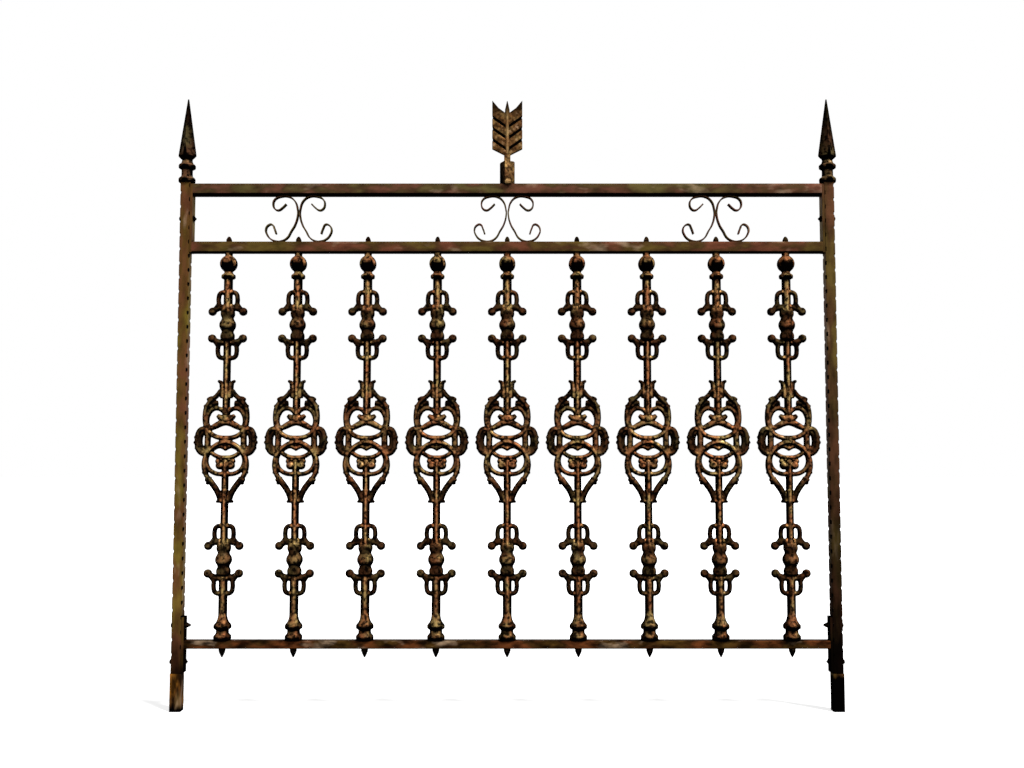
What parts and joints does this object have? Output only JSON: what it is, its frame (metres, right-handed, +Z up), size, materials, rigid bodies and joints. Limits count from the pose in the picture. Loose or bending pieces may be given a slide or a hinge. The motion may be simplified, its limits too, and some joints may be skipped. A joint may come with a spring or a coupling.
{
  "type": "wrought iron fence panel",
  "caption": "Free-standing fence panel of cast scroll balusters between rails, with hammered posts, spear tips and a feather finial.",
  "frame": {"origin": "centre of the left post's flat foot, at floor level", "axes": "+X along the panel from the left post to the right post, +Y from front to back, +Z up"},
  "size_m": [1.673, 0.045, 1.534],
  "materials": {
    "cast_iron_bronze": "cast iron painted black, front faces rubbed with antique bronze",
    "post_steel_bronze": "hammered-edge square steel tube, black paint rubbed with antique bronze",
    "rail_steel_bronze": "steel tube and bar, black paint rubbed with antique bronze",
    "fastener_black": "black painted steel bolts and nuts",
    "foot_cap_bronze": "pressed steel cap, black paint rubbed with antique bronze, bare black at the bottom"
  },
  "bodies": {
    "root": {"baluster_1": "cast_iron_bronze", "baluster_2": "cast_iron_bronze", "baluster_3": "cast_iron_bronze", "baluster_4": "cast_iron_bronze", "baluster_5": "cast_iron_bronze", "baluster_6": "cast_iron_bronze", "baluster_7": "cast_iron_bronze", "baluster_8": "cast_iron_bronze", "baluster_9": "cast_iron_bronze", "baluster_nuts": "fastener_black", "bottom_rail": "rail_steel_bronze", "feather_finial": "cast_iron_bronze", "feather_socket": "rail_steel_bronze", "left_bottom_bolt": "fastener_black", "left_foot_cap": "foot_cap_bronze", "left_lower_bolt": "fastener_black", "left_lower_end_plate": "rail_steel_bronze", "left_post": "post_steel_bronze", "left_spear_finial": "cast_iron_bronze", "left_upper_bolt": "fastener_black", "left_upper_end_plate": "rail_steel_bronze", "middle_rail": "rail_steel_bronze", "right_bottom_bolt": "fastener_black", "right_foot_cap": "foot_cap_bronze", "right_lower_bolt": "fastener_black", "right_lower_end_plate": "rail_steel_bronze", "right_post": "post_steel_bronze", "right_spear_finial": "cast_iron_bronze", "right_upper_bolt": "fastener_black", "right_upper_end_plate": "rail_steel_bronze", "scroll_1_left": "rail_steel_bronze", "scroll_1_right": "rail_steel_bronze", "scroll_2_left": "rail_steel_bronze", "scroll_2_right": "rail_steel_bronze", "scroll_3_left": "rail_steel_bronze", "scroll_3_right": "rail_steel_bronze", "top_rail": "rail_steel_bronze"}
  },
  "joints": []
}
